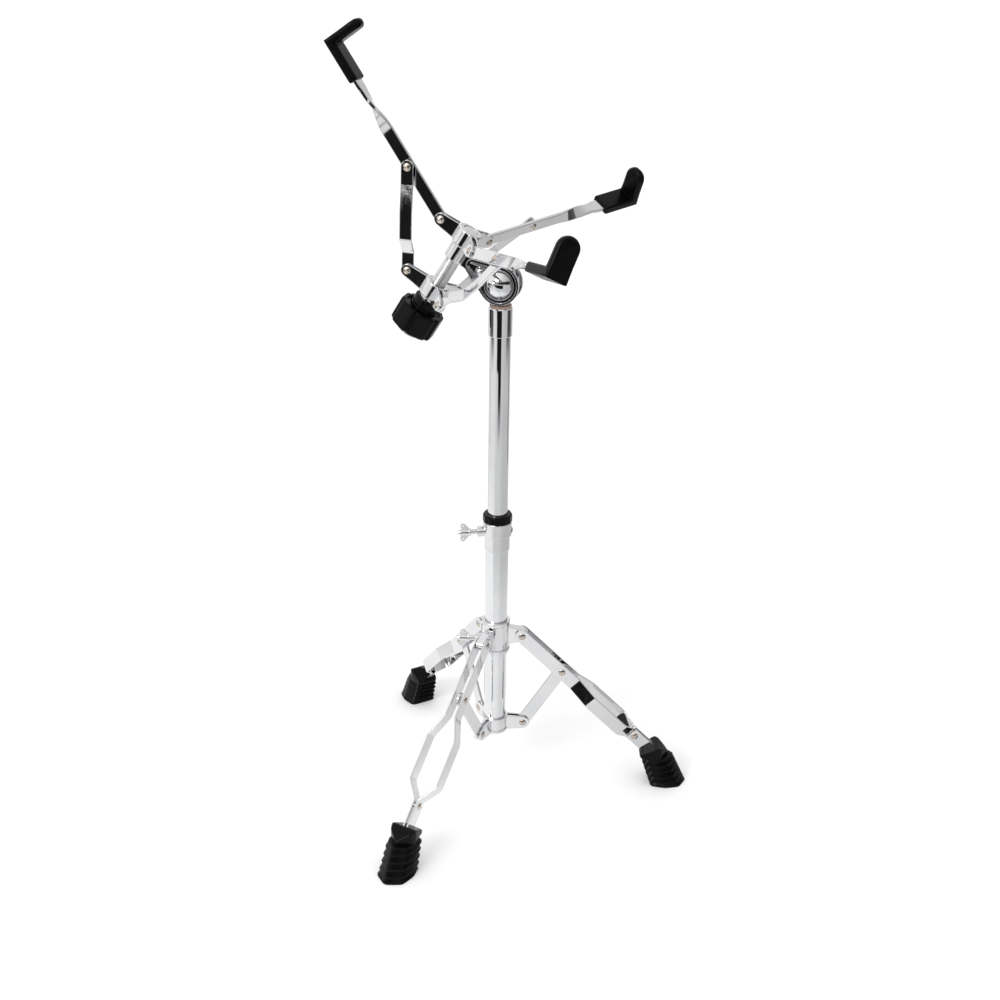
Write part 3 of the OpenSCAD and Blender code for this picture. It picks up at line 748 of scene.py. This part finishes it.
def sky():
    """A white studio, with the structured sky for reflections only."""
    world = bpy.data.worlds.new("studio")
    bpy.context.scene.world = world
    world.use_nodes = True
    world.node_tree.nodes.clear()
    g = Graph(world.node_tree)
    x, y, z = g.xyz("Generated")
    front = g.times(g.smooth(y, -0.25, -0.55), g.smooth(z, 0.45, 0.30), g.smooth(z, 0.03, 0.09), 0.97)
    right = g.times(g.smooth(x, 0.45, 0.75), g.smooth(z, 0.36, 0.22), 0.8)
    side = g.smooth(x, -0.3, 0.9, 1.0, SKY_RIGHT)
    shade = g.times(side, g.minus(1.0, g.calc("MAXIMUM", front, right)), SKY)
    mirrored, even, backdrop = (g.add("ShaderNodeBackground", Color=WHITE, Strength=strength).outputs[0]
                                for strength in (shade, AMBIENT, 1.0))
    ray = g.add("ShaderNodeLightPath").outputs
    lit = g.add("ShaderNodeMixShader", i0=ray["Is Glossy Ray"], i1=even, i2=mirrored).outputs[0]
    seen = g.add("ShaderNodeMixShader", i0=ray["Is Camera Ray"], i1=lit, i2=backdrop).outputs[0]
    g.add("ShaderNodeOutputWorld", Surface=seen)


def card(name, corners):
    """A shining sheet that only reflections see: its node graph and its brightness socket."""
    mat = bpy.data.materials.new(name)
    mat.use_nodes = True
    mat.node_tree.nodes.clear()
    g = Graph(mat.node_tree)
    shine = g.add("ShaderNodeEmission")
    g.add("ShaderNodeOutputMaterial", Surface=shine.outputs[0])
    obj = sheet(name, corners, mat)
    obj.visible_camera = obj.visible_diffuse = obj.visible_shadow = obj.visible_transmission = False
    return g, shine.inputs["Strength"]


def upright_cards():
    for index, (azimuth, distance, width, top, brightness) in enumerate(CARDS):
        a = math.radians(azimuth)
        out, side = Vector((math.sin(a), -math.cos(a), 0)), Vector((math.cos(a), math.sin(a), 0))
        low = [out * distance + side * s * width / 2 + UP * CARD_LIFT for s in (-1, 1)]
        _, strength = card(f"card_{index}", [low[0], low[1], low[1] + UP * top, low[0] + UP * top])
        strength.default_value = brightness


def painted_floor_reflection():
    """A sheet only reflections see, painted as the floor's reflection: bright to the left, grey to the right,
    painted dark far out in front.
    """
    g, strength = card("painted_floor_reflection", square(MIRROR_LIFT))
    x, y, _ = g.xyz("Object")
    r = g.calc("SQRT", g.plus(g.times(x, x), g.times(y, y)))
    across = g.calc("DIVIDE", x, r)
    left = g.smooth(r, 0.55, 1.1, LEFT_NEAR, LEFT_FAR)
    base = g.smooth(across, -0.85, -0.42, left, MIDDLE)
    near = g.smooth(r, 0.35, 0.65, 1.35, 1.0)
    base = g.times(base, g.smooth(across, 0.1, 0.9, 1.0, RIGHT / MIDDLE), near)
    base = g.calc("MINIMUM", base, LEFT_NEAR)
    start = g.smooth(r, 1.4, 2.4, -0.30, -0.74)
    # Painted shade in the floor's reflection, far out in front and far to either side, where the real floor is
    # evenly lit.
    ahead = g.times(g.smooth(y, -0.2, -0.4), g.smooth(g.minus(across, start), 0.0, 0.07),
                    g.smooth(across, 0.30, 0.20), g.smooth(r, 1.02, 1.42))
    beside = g.times(g.smooth(g.calc("ABSOLUTE", across), 0.90, 0.97), g.smooth(r, 1.5, 1.9), 0.9)
    painted_dark = g.calc("MAXIMUM", ahead, beside)
    g.put(strength, g.times(base, g.minus(1.0, g.times(painted_dark, 0.985))))


def sun():
    """Soft light from the viewer's left, which lays short shadows behind and right of the feet."""
    light = bpy.data.lights.new("key", "SUN")
    light.energy = SUN_ENERGY
    light.angle = math.radians(SUN_ANGLE)
    add_object("key", light).rotation_euler = SUN_TOWARDS.to_track_quat("-Z", "Y").to_euler()


def strip():
    """A small bright lamp at the viewer's left: the glints on rubber and plastic."""
    light = bpy.data.lights.new("strip", "AREA")
    light.shape = "SQUARE"
    light.size = STRIP_SIDE
    light.energy = STRIP_WATTS
    obj = add_object("strip", light)
    obj.location = STRIP_AT
    obj.rotation_euler = (Vector((0.0, 0.0, 0.3)) - obj.location).to_track_quat("-Z", "Y").to_euler()


def camera():
    """The photograph's viewpoint, as fitted to it."""
    cam = bpy.data.cameras.new("camera")
    cam.sensor_width = 36.0
    cam.lens = CAMERA_LENS
    cam.clip_start, cam.clip_end = 0.05, 60.0
    cam.shift_x, cam.shift_y = CAMERA_SHIFT
    obj = add_object("camera", cam)
    obj.location = CAMERA_AT
    aim = (CAMERA_AIM - CAMERA_AT).to_track_quat("-Z", "Y")
    obj.rotation_euler = (aim @ Quaternion((0, 0, 1), math.radians(CAMERA_ROLL))).to_euler()
    bpy.context.scene.camera = obj


floor()
sky()
upright_cards()
painted_floor_reflection()
sun()
strip()
camera()
bpy.context.scene.view_settings.view_transform = "Standard"
